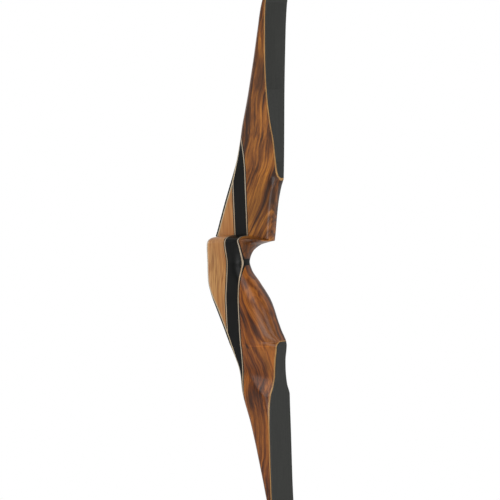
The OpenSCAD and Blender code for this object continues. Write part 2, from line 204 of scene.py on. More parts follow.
def make_piece(name: str, points: np.ndarray, faces: list[tuple[int, ...]], crease_deg: float = 32.0,
               along: np.ndarray | None = None) -> bpy.types.Object:
    """Makes a closed, smoothly shaded mesh object at the origin.

    Args:
        name: Name of the piece.
        points: Vertices in millimetres, one row each.
        faces: Vertex numbers of each face, anticlockwise from outside.
        crease_deg: Edges that turn more than this stay sharp.
        along: Pattern coordinates of each vertex in metres, across and along, kept as the UV map.

    Returns:
        The new object.
    """
    mesh = bpy.data.meshes.new(name)
    mesh.from_pydata((points * MM).tolist(), [], faces)
    if along is not None:
        corners = np.zeros(len(mesh.loops), np.int32)
        mesh.loops.foreach_get("vertex_index", corners)
        layer = mesh.uv_layers.new(name="along")
        layer.uv.foreach_set("vector", along[corners].astype(np.float32).ravel())
    mesh.validate()
    mesh.shade_smooth()
    mesh.set_sharp_from_angle(angle=math.radians(crease_deg))
    return put_in_scene(name, mesh)


def loft_faces(rings: int, width: int) -> list[tuple[int, ...]]:
    """Faces of a skin over rings of points, closed by one face at each end.

    Args:
        rings: Number of rings.
        width: Points in each ring, which run clockwise as seen from the last ring.

    Returns:
        Vertex numbers of each face.
    """
    ring, step = np.meshgrid(np.arange(rings - 1), np.arange(width), indexing="ij")
    a = ring * width + step
    b = ring * width + (step + 1) % width
    walls = np.stack([b, a, a + width, b + width], -1).reshape(-1, 4)
    first = tuple(range(width))
    last = tuple(range((rings - 1) * width, rings * width))[::-1]
    return [tuple(w) for w in walls.tolist()] + [first, last]


class Zone(Enum):
    """Stretches of the riser along which heights are given as shares."""

    FLARE = "from the heel down to the lower fade-out"
    GRIP = "from the throat down to the heel"
    THROAT = "from the throat up to the shelf's lip"
    SHELF = "from the shelf's lip up to the shelf"
    BLOCK = "from the shelf up to the end of the upper glass"
    RAMP = "from the end of the upper glass up to the fade-out"
    WINDOW = "from the shelf up to the top of the sight window's flat"
    RUNOUT = "from the top of the window's flat up to the fade-out"
    UPPER = "from the shelf up to the upper fade-out"
    LEVEL = "plain millimetres"


FLARE, GRIP, THROAT, SHELF, BLOCK, RAMP, WINDOW, RUNOUT, UPPER, LEVEL = Zone


@dataclass(frozen=True)
class BowSizes:
    """The bow's driving sizes in millimetres and degrees, the same as those of its solids."""

    limb_w: float = 42.5
    nock_w: float = 15.0
    limb_len: float = 468.0
    limb_cant: float = 12.5
    recurve_turn: float = 72.0
    tip_len: float = 20.0
    glass_t: float = 1.3
    lam_t: float = 1.4
    lam_tip_t: float = 1.1
    wedge_t: float = 3.0
    wedge_len: float = 150.0
    overlay_t: float = 5.0
    overlay_len: float = 40.0
    groove_w: float = 4.5
    groove_d: float = 2.4
    saddle_d: float = 1.4
    riser_up: float = 308.0
    riser_down: float = 296.0
    upper_root_share: float = 1.148
    lower_root_share: float = 1.1145
    back_reach: float = 48.2
    belly_reach: float = 37.8
    upper_glass_z: float = 97.0
    block_reach: float = 19.6
    back_cap: float = 1.1
    shelf_z: float = 30.5
    shelf_reach: float = 16.8
    shelf_drop: float = 10.0
    crown_r: float = 165.0
    window_cut: float = 4.4
    window_flat: float = 74.0
    throat_w: float = 27.6
    palm_w: float = 40.6
    waist_w: float = 37.0
    heel_z: float = 94.0
    arch_rise: float = 4.0
    heel_reach: float = 48.0
    accent_t: float = 16.0
    pale_t: float = 1.2
    black_t: float = 1.1
    throat_bite: float = 0.3
    stripe_lean: float = 3.3
    stripe_r: float = 7700.0
    feather: float = 0.3

    @property
    def along_y(self) -> float:
        """How much thicker a canted lamination measures along Y."""
        return 1 / math.cos(math.radians(self.limb_cant))

    @property
    def stack_t(self) -> float:
        """Thickness of a limb along Y where it leaves the riser."""
        return (2 * (self.glass_t + self.lam_t) + self.feather) * self.along_y

    @property
    def upper_root_y(self) -> float:
        """Belly surface of the upper limb where it leaves the riser."""
        return -self.belly_reach * self.upper_root_share

    @property
    def lower_root_y(self) -> float:
        """Belly surface of the lower limb where it leaves the riser."""
        return -self.heel_reach * self.lower_root_share

    @property
    def shelf_base(self) -> float:
        """Height of the shelf's lip."""
        return self.shelf_z - self.shelf_drop

    @property
    def window_top(self) -> float:
        """Height at which the flat of the sight window ends."""
        return self.shelf_z + self.window_flat

    @property
    def lower_glass_z(self) -> float:
        """Height of the arched end of the lower belly glass."""
        return self.arch_rise - self.heel_z

    def height(self, zone: Zone, share: float) -> float:
        """Height of a place along a stretch of the riser.

        Args:
            zone: The stretch.
            share: Share of the way along it.

        Returns:
            The height in millimetres.
        """
        start, end = {
            FLARE: (-self.heel_z, -self.riser_down), GRIP: (0.0, -self.heel_z),
            THROAT: (0.0, self.shelf_base), SHELF: (self.shelf_base, self.shelf_z),
            BLOCK: (self.shelf_z, self.upper_glass_z), RAMP: (self.upper_glass_z, self.riser_up),
            WINDOW: (self.shelf_z, self.window_top), RUNOUT: (self.window_top, self.riser_up),
            UPPER: (self.shelf_z, self.riser_up), LEVEL: (0.0, 1.0),
        }[zone]
        return mix(start, end, share)


class Side(Enum):
    """The two sides of the bow, valued by their direction along X."""

    NEAR = -1
    FAR = 1


@dataclass
class RiserOutline:
    """Outer surface and glue lines of the riser as functions of height and reach."""

    s: BowSizes
    upper_rim: float = 3.0
    lower_rim: float = 1.2
    flare_depth: float = 18.0
    cap_run: float = 32.0
    cap_from: float = 0.9
    cap_to: float = 0.2
    shelf_square: float = 0.76
    palm_share: float = 0.73
    crease_share: float = 1.01
    crown_middle: float = 0.3
    crown_clear: float = 2.0
    crown_fade: float = 0.676
    blunt_end: float = 0.3
    blunt_run: float = 3.0
    ring_count: int = 404
    ring_gap: float = 0.008
    lip_turn: float = 3.0
    end_below: float = 1.5
    end_above: float = 4.5
    end_rings: int = 25
    shelf_rings: tuple[float, ...] = (0.01, 0.4, 0.8, 1.2)

    def __post_init__(self) -> None:
        """Draws each line of the outline once."""
        self.back = HeightLine(self._back_points())
        self.belly = HeightLine(self._belly_points())
        self.sides = {side: HeightLine(self._side_points(side)) for side in Side}
        self.faces = {side: HeightLine(self._face_points(side)) for side in Side}
        self.rounds = {side: HeightLine(self._round_points(side)) for side in Side}
        self.back_rounds = {side: HeightLine(self._back_round_points(side)) for side in Side}
        self.finger_flare = HeightLine(self._points(
            (GRIP, (0.745, 0), (0.426, 1.2), (0.191, 3.2), (0, 3.6)),
            (THROAT, (0.61, 1.5), (1, 0)),
        ))

    def _points(self, *runs: tuple[Any, ...], scale: tuple[float, float] = (0.0, 1.0)) -> Points:
        """Points of a line from pairs of a share of a zone's height and a value.

        Args:
            runs: Zones from the lowest to the highest, each with its pairs.
            scale: What the values 0 and 1 stand for, in millimetres.

        Returns:
            Points of height and value.
        """
        return tuple(
            (self.s.height(zone, share), mix(*scale, value))
            for zone, *pairs in runs for share, value in pairs
        )

    def _back_points(self) -> Points:
        """Side view of the back.

        Returns:
            Points of height and reach.
        """
        s = self.s
        low = self._points(
            (FLARE, (1, 0), (0.723, 0.15), (0.455, 0.309), (0.277, 0.441), (0.149, 0.498), (0.053, 0.572)),
            (GRIP, (0.904, 0.654), (0.564, 0.81), (0.213, 0.966)),
            (LEVEL, (s.shelf_z * 0.39, 0.996)),
            scale=(s.lower_root_y + s.stack_t, s.back_reach),
        )
        high = self._points(
            (UPPER, (0, 1), (0.025, 0.972), (0.1135, 0.872), (0.229, 0.741), (0.305, 0.667), (0.384, 0.59),
             (0.56, 0.368), (0.7, 0.234), (0.845, 0.128), (0.93, 0.07), (1, 0)),
            scale=(s.upper_root_y + s.stack_t, s.back_reach),
        )
        return low + high

    def _belly_points(self) -> Points:
        """Side view of the belly.

        Returns:
            Points of height and reach.
        """
        s = self.s
        flare = self._points((
            FLARE, (1, s.lower_root_y), (0.876, s.lower_root_y + 3.1), (0.525, -s.heel_reach + 0.6),
            (0.198, -s.heel_reach + 2.8), (0.089, -s.heel_reach + 2.2),
        ))
        grip = self._points(
            (GRIP, (1, 1), (0.81, 0.845), (0.5, 0.621), (0.234, 0.264), (0.106, 0.067), (0, 0)),
            scale=(0.0, -s.heel_reach),
        )
        beak = self._points(
            (THROAT, (0.34, 0.035), (0.66, 0.1)),
            (SHELF, (0.1, 0.272), (0.48, 0.452), (0.73, 0.592), (0.95, 0.706)),
            (LEVEL, (s.shelf_z + 4, 0.714)),
            (BLOCK, (0.534, 0.8), (0.865, 0.926), (1, 1.003)),
            (RAMP, (0.18, 1.012), (0.422, 1.012), (0.796, 1.045), (0.938, 1.087)),
            scale=(0.0, -s.belly_reach),
        )
        return flare + grip + beak + ((s.riser_up, s.upper_root_y),)

    def _side_points(self, side: Side) -> Points:
        """Front view of one side. The window side leaves out the shelf's quarter-ellipse.

        Args:
            side: Which side of the bow.

        Returns:
            Points of height and X.
        """
        s = self.s
        grip = self._points(
            (FLARE, (1, s.limb_w / 2), (0.287, s.limb_w / 2 - 0.3), (0.129, s.waist_w / 2)),
            (LEVEL, (-s.heel_z - 4, s.palm_w / 2 - 1), (-s.heel_z + 1, s.palm_w / 2 - 0.2),
             (-s.heel_z + 19, s.palm_w / 2)),
            (GRIP, (0.5, s.palm_w / 2 - 0.3), (0.128, mix(s.throat_w, s.palm_w, 0.2) / 2),
             (0, s.throat_w / 2)),
            scale=(0.0, side.value),
        )
        if side is Side.NEAR:
            shelf = self._points((SHELF, (0, -s.shelf_reach), (0.31, 1 - s.shelf_reach), (1, s.window_cut)))
            return grip + shelf + self._points(
                (RUNOUT, (0, 0), (0.16, 0.165), (0.27, 0.43), (0.4, 0.66), (0.6, 0.86), (1, 1)),
                scale=(s.window_cut, -s.limb_w / 2),
            )
        return grip + self._points(
            (SHELF, (0, s.block_reach - 3)),
            (WINDOW, (0.135, s.block_reach - 0.8), (1, s.block_reach)),
            (RUNOUT, (0.607, s.limb_w / 2 - 0.9), (1, s.limb_w / 2)),
        )

    def _face_points(self, side: Side) -> Points:
        """Where one side meets the belly surface.

        Args:
            side: Which side of the bow.

        Returns:
            Points of height and X.
        """
        s = self.s
        if side is Side.FAR:
            return self._points(
                (FLARE, (1, s.limb_w / 2 - 0.7), (0.287, s.limb_w / 2 - 0.8), (0.223, s.waist_w * 0.415),
                 (0.129, s.waist_w * 0.322), (0.03, s.waist_w * 0.287)),
                (LEVEL, (s.lower_glass_z, s.palm_w * 0.252)),
                (GRIP, (0.84, s.palm_w * 0.218), (0.638, s.palm_w * 0.123), (0, s.throat_w * 0.072)),
                (THROAT, (0.61, s.throat_w * 0.18), (1, s.block_reach - 8.6)),
                (SHELF, (0.6, s.block_reach - 3)),
                (WINDOW, (0.176, s.block_reach - 1.4), (1, s.block_reach - 0.5)),
                (RUNOUT, (1, s.limb_w / 2 - 0.6)),
            )
        low = self._points(
            (FLARE, (1, -s.limb_w / 2 + 0.7), (0.5, -s.limb_w / 2 + 1.2), (0.381, -s.limb_w / 2 + 2.3),
             (0.287, -s.limb_w * 0.37), (0.223, -s.waist_w * 0.257), (0.165, -s.waist_w * 0.186),
             (0.03, -s.waist_w * 0.187), (0.01, -s.waist_w * 0.21)),
            (LEVEL, (-s.heel_z + s.arch_rise * 0.5, -s.palm_w * 0.1), (s.lower_glass_z, -s.palm_w * 0.025)),
            (GRIP, (0.638, -s.palm_w * 0.086), (0, -s.throat_w * 0.072)),
            (THROAT, (0.61, 0), (1, 5)),
            (SHELF, (0.6, 9)),
            (LEVEL, (s.shelf_z + 1, s.window_cut + 5.6)),
        )
        block = self._points(
            (BLOCK, (0.82, 0.5), (1, 0.8)),
            (RUNOUT, (0, 0.38)),
            scale=(s.window_cut, s.block_reach),
        )
        runout = self._points(
            (RUNOUT, (0.08, 0.02), (0.16, 0.165), (0.4, 0.65)),
            scale=(s.window_cut, -s.limb_w / 2),
        )
        return low + block + runout + ((s.riser_up, -s.limb_w / 2 + 0.6),)

    def _round_points(self, side: Side) -> Points:
        """Depth of the rounding of one belly edge.

        Args:
            side: Which side of the bow.

        Returns:
            Points of height and depth.
        """
        s = self.s
        if side is Side.FAR:
            return self._points(
                (FLARE, (1, 1), (0.287, 1.4), (0.223, 22), (0.129, 32), (0, 30)),
                (GRIP, (0.638, 24), (0.32, 18), (0, 14)),
                (THROAT, (0.61, 16)),
                (SHELF, (0.6, 8)),
                (WINDOW, (0.176, 4)),
                (RAMP, (0, 2.4), (1, 1)),
            )
        return self._points(
            (FLARE, (1, 1), (0.5, 1.4), (0.381, 3), (0.287, 8), (0.223, 22), (0.129, 34), (0, 34)),
            (GRIP, (0.638, 26), (0.32, 18), (0, 14)),
            (THROAT, (0.61, 20), (1, 25)),
            (SHELF, (0.7, 24)),
            (LEVEL, (s.shelf_z + 1, 6.5)),
            (BLOCK, (0.82, 7), (1, 13)),
            (RUNOUT, (0, 10), (0.08, 5), (0.175, 1.6), (1, 1)),
        )

    def _back_round_points(self, side: Side) -> Points:
        """Rounding of a back edge: crisp beside the window and below the fingers.

        Args:
            side: Which side of the bow.

        Returns:
            Points of height and radius.
        """
        s = self.s
        near = (
            (FLARE, (0.149, 5), (0.084, 4)),
            (GRIP, (0.904, 0.8), (0.564, 1), (0.34, 5), (0.213, 6.5)),
            (THROAT, (0.49, 6.5), (1, 6)),
            (LEVEL, (s.shelf_z, 5), (s.shelf_z + 1.2, 0.5)),
            (UPPER, (0.2, 0.5), (0.25, 1.4)),
        )
        far = (
            (FLARE, (0.149, 4.4)),
            (GRIP, (0.904, 4.6), (0.426, 6.5)),
            (THROAT, (0.49, 6.5)),
            (LEVEL, (s.shelf_z + 4, 4.6)),
            (UPPER, (0.229, 3)),
        )
        return self._points(
            (FLARE, (1, 0.9), (0.723, 3), (0.455, 5), (0.277, 6)),
            *(near if side is Side.NEAR else far),
            (UPPER, (0.305, 3.6), (0.384, 5.4), (0.56, 5), (0.845, 2.5), (1, 0.9)),
        )

    def side_reach(self, z: np.ndarray, side: Side) -> np.ndarray:
        """Outermost X of one side: its line, with the shelf as a quarter of a squared-off ellipse.

        On the shelf x = cut - side * cos(a)^q where z = base + drop * sin(a)^q, so with the lift
        t = (z - base) / drop it is x = cut - side * (1 - t^(2/q))^(q/2).

        Args:
            z: Heights.
            side: Which side of the bow.

        Returns:
            X at each height.
        """
        s = self.s
        reach = self.sides[side].at(z)
        if side is Side.FAR:
            return reach
        lift = np.clip((z - s.shelf_base) / s.shelf_drop, 0, 1)
        square = self.shelf_square
        round_off = (1 - lift ** (2 / square)) ** (square / 2)
        arc = s.window_cut - (s.shelf_reach + s.window_cut) * round_off
        return np.where((z > s.shelf_base) & (z <= s.shelf_z), arc, reach)

    def stripe_y(self, line: int, z: np.ndarray) -> np.ndarray:
        """Reach of a glue line of the accent stripe.

        It is z * tan(lean) - z^2 / (2 * radius), plus the layers before it.

        Args:
            line: Number of the line, from 0 at the belly to 5.
            z: Heights.

        Returns:
            Y at each height.
        """
        s = self.s
        widths = [0, s.black_t, s.pale_t, s.accent_t, s.pale_t, s.black_t]
        lean = z * math.tan(math.radians(s.stripe_lean)) - z * z / (2 * s.stripe_r)
        return -s.throat_bite + lean + sum(widths[:line + 1])

    def belly_fall(self, share: np.ndarray, z: np.ndarray) -> np.ndarray:
        """Profile of a belly edge: a quarter-round that flattens down the palm to a plain bevel.

        The bevel's share is c^2, where c runs from 0 in the palm to 1 at the crease below the heel.

        Args:
            share: How far into the rounding each point lies, 0 at the belly face and 1 at the side.
            z: Heights.

        Returns:
            Share of the way from the face to the side.
        """
        palm_z, crease_z = -self.s.heel_z * self.palm_share, -self.s.heel_z * self.crease_share
        bevel = np.clip((palm_z - z) / (palm_z - crease_z), 0, 1) ** 2
        return mix(quarter(share), np.clip(share, 0, 1), bevel)

    def edge_x(self, y: np.ndarray, z: np.ndarray, side: Side) -> np.ndarray:
        """X of the sanded surface at a reach and a height.

        The side and the belly face are joined by the profile of the belly edge, the back edge is rounded
        by a quarter circle, and the back of the grip flares smoothly outwards behind the stripe.

        Args:
            y: Reaches along Y.
            z: Heights, in the shape of y.
            side: Which side of the bow.

        Returns:
            X at each point.
        """
        hand = side.value
        spread = self.finger_flare.at(z) * ease((y - self.stripe_y(4, z)) / self.flare_depth)
        fall = self.belly_fall((y - self.belly.at(z)) / self.rounds[side].at(z), z)
        radius = self.back_rounds[side].at(z)
        nip = radius * (1 - quarter((self.back.at(z) - y) / radius))
        return mix(self.faces[side].at(z), self.side_reach(z, side) + hand * spread, fall) - hand * nip

    def crowned(self, y: np.ndarray, z: np.ndarray) -> np.ndarray:
        """Height after the shelf's crown has bent the levels near it into an arch along the arrow.

        It is z - share * (y - middle)^2 / (2 * radius). The share eases in below the shelf and out above.

        Args:
            y: Reaches along Y.
            z: Heights, in the shape of y.

        Returns:
            The bent heights.
        """
        s = self.s
        fade = ease((z - s.shelf_z - self.crown_clear) / (s.window_flat * self.crown_fade))
        share = ease(z / s.shelf_base) * (1 - fade)
        return z - share * (y - s.back_reach * self.crown_middle) ** 2 / (2 * s.crown_r)

    def back_black_t(self, z: np.ndarray) -> np.ndarray:
        """Thickness of the black back: plain glass, and a cap more from the heel to the sight window.

        Args:
            z: Heights.

        Returns:
            The thickness at each height.
        """
        s = self.s
        low = ease((z + s.heel_z * self.cap_from + self.cap_run) / self.cap_run)
        high = 1 - ease((z - s.height(UPPER, self.cap_to)) / self.cap_run)
        return s.glass_t * s.along_y + s.back_cap * low * high

    def _ramp(self, past: np.ndarray) -> np.ndarray:
        """Share of its thickness that belly glass or wood has this far past its end."""
        return np.where(past < 0, 0, np.clip(self.blunt_end + past / self.blunt_run, 0, 1))

    def glue_y(self, layer: int, z: np.ndarray) -> np.ndarray:
        """Reach of a glue line: 0 is the belly surface, 3 to 8 the stripe's lines, 11 the back.

        Args:
            layer: Number of the line.
            z: Heights.

        Returns:
            Y at each height.
        """
        s = self.s
        under_back = self.back.at(z) - self.back_black_t(z) - s.lam_t * s.along_y
        if layer == 11:
            return self.back.at(z)
        if layer == 10:
            return self.back.at(z) - self.back_black_t(z)
        if layer == 9:
            return under_back
        line = self.belly.at(z)
        if layer >= 1:
            past = np.maximum(z - s.upper_glass_z, s.lower_glass_z - z)
            line = line + s.glass_t * s.along_y * self._ramp(past)
        if layer >= 2:
            past = np.maximum(z - s.upper_glass_z + self.upper_rim, s.lower_glass_z + self.lower_rim - z)
            line = line + s.lam_t * s.along_y * self._ramp(past)
        if layer >= 3:
            line = np.minimum(np.maximum(self.stripe_y(layer - 3, z), line), under_back)
        return line

    def levels(self) -> np.ndarray:
        """Heights of the rings: every 1.5 mm, closer round the shelf's lip and the glass ends.

        Returns:
            The heights, from the lowest.
        """
        s = self.s
        turn = np.radians(np.arange(0, 90 + self.lip_turn, self.lip_turn))
        ends = [
            np.linspace(end - self.end_below, end + self.end_above, self.end_rings) for end in
            (s.upper_glass_z - self.upper_rim, s.upper_glass_z, s.lower_glass_z - self.blunt_run)
        ]
        parts = [
            np.linspace(-s.riser_down, s.riser_up, self.ring_count),
            s.shelf_base + s.shelf_drop * np.sin(turn) ** self.shelf_square,
            s.shelf_z + np.array(self.shelf_rings), np.array([0.0, -s.heel_z * self.crease_share]),
            np.array([s.lower_glass_z, s.lower_glass_z + self.lower_rim]), *ends,
        ]
        heights = np.unique(np.round(np.concatenate(parts), 3))
        return heights[np.concatenate([[True], np.diff(heights) > self.ring_gap])]


class Body(Enum):
    """The bow's three rigid bodies."""

    RISER = "riser"
    UPPER = "upper_limb"
    LOWER = "lower_limb"


@dataclass(frozen=True)
class LayerPlan:
    """One glued layer of the riser: its name, the solid it stands for, its glue line and its finish."""

    name: str
    node: str
    line: int
    z_from: float
    z_to: float
    shares: tuple[float, ...]
    slot: str


@dataclass
class Riser:
    """The riser: fourteen glued layers sanded to one surface."""

    sizes: BowSizes
    finishes: dict[str, bpy.types.Material]
    thinnest: float = 0.05
    belly_shares: tuple[float, ...] = (
        0, 0.002, 0.006, 0.012, 0.02, 0.03, 0.045, 0.065, 0.09, 0.12, 0.16, 0.21, 0.27, 0.35, 0.44, 0.54,
        0.65, 0.76, 0.83, 0.88, 0.91, 0.93, 0.947, 0.962, 0.976, 0.988, 1,
    )
    core_shares: tuple[float, ...] = (0, 0.08, 0.18, 0.3, 0.42, 0.55, 0.68, 0.8, 0.9, 1)
    back_shares: tuple[float, ...] = (
        0, 0.1, 0.22, 0.34, 0.46, 0.57, 0.66, 0.74, 0.8, 0.85, 0.89, 0.92, 0.945, 0.965, 0.98, 0.99, 1,
    )
    skin_shares: tuple[float, ...] = (0, 0.34, 0.67, 1)

    def plans(self) -> list[LayerPlan]:
        """Plans the fourteen layers.

        Returns:
            The layers, from the belly to the back.
        """
        s = self.sizes
        low, high = -s.riser_down, s.riser_up
        block, core, back, skin = self.belly_shares, self.core_shares, self.back_shares, self.skin_shares
        return [
            LayerPlan("upper_ramp_glass_skin", "upper_ramp_glass", 0, 0, high, skin, "belly_glass"),
            LayerPlan("lower_ramp_glass_skin", "lower_ramp_glass", 0, low, 0, skin, "belly_glass"),
            LayerPlan("upper_ramp_wood", "upper_ramp_lamination", 1, 0, high, skin, "tan_lamination"),
            LayerPlan("lower_ramp_wood", "lower_ramp_lamination", 1, low, 0, skin, "tan_lamination"),
            LayerPlan("upper_block_wood", "riser_upper_block", 2, 0, high, block, "figured_wood"),
            LayerPlan("lower_block_wood", "riser_lower_block", 2, low, 0, block, "figured_wood_low"),
            LayerPlan("belly_black_line", "belly_black_veneer", 3, low, high, skin, "black_stripe"),
            LayerPlan("belly_pale_line", "belly_pale_veneer", 4, low, high, skin, "pale_pinstripe"),
            LayerPlan("accent_wood", "accent_core", 5, low, high, core, "black_stripe"),
            LayerPlan("back_pale_line", "back_pale_veneer", 6, low, high, skin, "pale_pinstripe"),
            LayerPlan("back_black_line", "back_black_veneer", 7, low, high, skin, "black_stripe"),
            LayerPlan("back_wood_block", "riser_back_block", 8, low, high, back, "back_wood"),
            LayerPlan("back_pale_lamination", "riser_back_lamination", 9, low, high, skin, "pale_lamination"),
            LayerPlan("back_glass_skin", "riser_back_glass", 10, low, high, skin, "back_glass"),
        ]

    def layer_points(self, outline: RiserOutline, plan: LayerPlan) -> np.ndarray:
        """Rings of points round one layer at every level at which it is thick enough.

        Each ring goes up the window side from the lower glue line to the upper one and down the other
        side: y = lower + share * (upper - lower), x is the sanded surface there, and z is the level bent
        by the crown.

        Args:
            outline: The riser's outline.
            plan: The layer.

        Returns:
            Points by ring, place in the ring and axis.
        """
        z = outline.levels()
        z = z[(z >= plan.z_from) & (z <= plan.z_to)]
        low, high = outline.glue_y(plan.line, z), outline.glue_y(plan.line + 1, z)
        kept = high - low > self.thinnest
        z, low, high = z[kept][:, None], low[kept][:, None], high[kept][:, None]
        y = mix(low, high, np.array(plan.shares)[None, :])
        z = np.broadcast_to(z, y.shape)
        lifted = outline.crowned(y, z)
        near = np.stack([outline.edge_x(y, z, Side.NEAR), y, lifted], -1)
        far = np.stack([outline.edge_x(y, z, Side.FAR), y, lifted], -1)
        return np.concatenate([near, far[:, ::-1]], 1)

    def build(self) -> list[bpy.types.Object]:
        """Builds the layers and lets each stand for its solid.

        Returns:
            The pieces.
        """
        outline = RiserOutline(self.sizes)
        made = []
        for plan in self.plans():
            rings = self.layer_points(outline, plan)
            piece = make_piece(plan.name, rings.reshape(-1, 3), loft_faces(*rings.shape[:2]))
            piece.data.materials.append(self.finishes[plan.slot])
            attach(piece, Body.RISER.value)
            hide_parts(plan.node)
            made.append(piece)
        return made


@dataclass(frozen=True)
class StripPlan:
    """One piece of a limb: its name, the solid it stands for, its layer, its start and its finish."""

    name: str
    node: str
    layer: int
    s_from: float
    finish: str
    slot: str


@dataclass
class Limb:
    """One limb: belly glass, two laminations, back glass, tip wedge and tip overlay."""

    body: Body
    sizes: BowSizes
    finishes: dict[str, bpy.types.Material]
    edge_r: float = 0.45
    crest_r: float = 2.6
    bend_end: float = 420.0
    path_steps: int = 480
    edge_shares: tuple[float, ...] = (0, 0.08, 0.2, 0.38, 0.62, 0.8, 0.92, 1)
    tip_layers: tuple[int, ...] = (2, 5)
    tip_steps: int = 26
    body_rings: int = 190
    tip_rings: int = 200
    crease_deg: float = 40.0
    turn_power: float = 2.4
    taper_power: float = 1.35
    feather_run: float = 0.064
    overlay_fall: float = 0.2
    fall_from: float = 0.45
    crest_share: float = 0.6
    groove_slant: float = 0.8
    end_from: float = 0.4
    end_round: float = 0.55

    def __post_init__(self) -> None:
        """Steps off the belly line: each step follows the angle at its middle."""
        s = self.sizes
        self.upper = self.body is Body.UPPER
        self.root = np.array([s.upper_root_y, s.riser_up] if self.upper else [s.lower_root_y, -s.riser_down])
        self.whole = s.limb_len + s.tip_len
        step = self.whole / self.path_steps
        angle = self.angle((np.arange(self.path_steps) + 0.5) * step)
        moves = step * np.stack([np.sin(angle), np.cos(angle)], -1)
        self.path = np.concatenate([np.zeros((1, 2)), np.cumsum(moves, 0)])

    def angle(self, s_along: np.ndarray) -> np.ndarray:
        """Forward lean in radians: the root's cant plus a turn that grows with a power of the length."""
        s = self.sizes
        return np.radians(-s.limb_cant + s.recurve_turn * (s_along / s.limb_len) ** self.turn_power)

    def belly(self, s_along: np.ndarray) -> np.ndarray:
        """Belly line of the limb as reach and height from its root."""
        at = np.linspace(0, self.whole, self.path_steps + 1)
        return np.stack([np.interp(s_along, at, self.path[:, i]) for i in (0, 1)], -1)

    def normal(self, s_along: np.ndarray) -> np.ndarray:
        """Direction across the limb, from belly to back. The root is cut level.

        Args:
            s_along: Lengths along the belly.

        Returns:
            Reach and height of each direction.
        """
        angle = self.angle(s_along)
        across = np.stack([np.cos(angle), -np.sin(angle)], -1)
        return np.where((s_along == 0)[:, None], [self.sizes.along_y, 0], across)

    def glue_u(self, layer: int, s_along: np.ndarray) -> np.ndarray:
        """Height of a glue line above the belly: the layers below it, added up.

        Args:
            layer: Number of the line: 0 is the belly, 5 the back and 6 the overlay's back.
            s_along: Lengths along the belly.

        Returns:
            The height at each length.
        """
        s = self.sizes
        lam = mix(s.lam_t, s.lam_tip_t, np.minimum(s_along / s.limb_len, 1))
        lam = lam + s.feather / 2 * np.maximum(0, 1 - s_along / (s.limb_len * self.feather_run))
        into = (s_along - s.limb_len + s.wedge_len) / s.wedge_len
        wedge = np.where(into < 0, 0, mix(s.feather, s.wedge_t, np.minimum(into, 1)))
        glass = np.full_like(lam, s.glass_t)
        heights = [np.zeros_like(lam), glass, lam, wedge, lam, glass]
        return sum(heights[:layer + 1]) if layer < 6 else sum(heights) + self.overlay(s_along)

    def overlay(self, s_along: np.ndarray) -> np.ndarray:
        """Thickness of the tip overlay: a smooth rise, less a round string groove and a slight fall.

        Args:
            s_along: Lengths along the belly.

        Returns:
            The thickness at each length.
        """
        s = self.sizes
        into = (s_along - s.limb_len + s.overlay_len) / s.overlay_len
        saddle = quarter(1 - np.abs(s_along - s.limb_len - s.groove_w) / (s.groove_w / 2))
        past = (s_along - s.limb_len - s.tip_len * self.fall_from) / s.tip_len
        fall = s.overlay_t * self.overlay_fall * ease(past)
        rise = mix(s.feather, s.overlay_t, ease(into))
        return np.where(into < 0, 0, rise - s.saddle_d * saddle - fall)

    def half_width(self, s_along: np.ndarray, u: np.ndarray) -> np.ndarray:
        """Half width: a tapering power of the length, less a slanted round nock, rounded at the end.

        Args:
            s_along: Lengths along the belly.
            u: Heights above the belly, in the same shape.

        Returns:
            The half width at each point.
        """
        s = self.sizes
        taper = mix(s.limb_w, s.nock_w, np.minimum(s_along / s.limb_len, 1) ** self.taper_power) / 2
        past = (s_along - s.limb_len) / s.tip_len - self.end_from
        end = np.clip(past / (1 - self.end_from), 0, 1)
        back = self.glue_u(5, np.full(1, s.limb_len))[0]
        off = s_along - s.limb_len - s.groove_w - self.groove_slant * (u - back)
        bite = s.groove_d * quarter(1 - np.abs(off) / (s.groove_w / 2))
        return taper * mix(1, np.sqrt(1 - end * end), self.end_round) - bite

    def layer_points(self, layer: int, s_from: float) -> tuple[np.ndarray, np.ndarray]:
        """Rings of points round one layer, and their pattern coordinates.

        The section is a bar whose long edges on the belly and the back are rounded: the half width loses
        r * (1 - quarter-round of the depth below the surface / r), with a larger r on the overlay.

        Args:
            layer: Number of the layer, 0 for the belly glass to 5 for the overlay.
            s_from: Length along the limb at which the layer starts.

        Returns:
            Points by ring, place in the ring and axis, and for each the metres across the strip and up
            the bow along it, so that its pattern carries on from the riser's.
        """
        s = self.sizes
        near_tip = s.limb_len - s.groove_w * 2
        stops = np.concatenate([
            np.linspace(0, near_tip, self.body_rings),
            np.linspace(near_tip, self.whole, self.tip_rings)[1:],
            [s.limb_len - s.wedge_len, s.limb_len - s.overlay_len],
        ])
        stops = np.unique(np.round(stops[stops >= s_from], 4))
        low, high = self.glue_u(layer, stops)[:, None], self.glue_u(layer + 1, stops)[:, None]
        shares = np.array(self.edge_shares)
        if layer in self.tip_layers:
            shares = quarter(np.linspace(0, 1, self.tip_steps))
        u = mix(low, high, shares[None, :])
        along = np.broadcast_to(stops[:, None], u.shape)
        half = self.half_width(along, u)
        crest = self.glue_u(6, stops)[:, None]
        crest_r = np.clip(self.overlay(stops)[:, None] * self.crest_share, self.edge_r, self.crest_r)
        half = half - crest_r * (1 - quarter((crest - u) / crest_r))
        half = half - self.edge_r * (1 - quarter(u / self.edge_r))
        centre = self.belly(stops)[:, None, :] + u[..., None] * self.normal(stops)[:, None, :]
        up = 1 if self.upper else -1
        y = self.root[0] + centre[..., 0]
        z = self.root[1] + up * centre[..., 1]
        near, far = np.stack([-half, y, z], -1), np.stack([half, y, z], -1)
        points = np.concatenate([near, far[:, ::-1]], 1)
        height = self.root[1] + up * along
        flat = np.concatenate([np.stack([-half, height], -1), np.stack([half, height], -1)[:, ::-1]], 1)
        return points, flat * MM

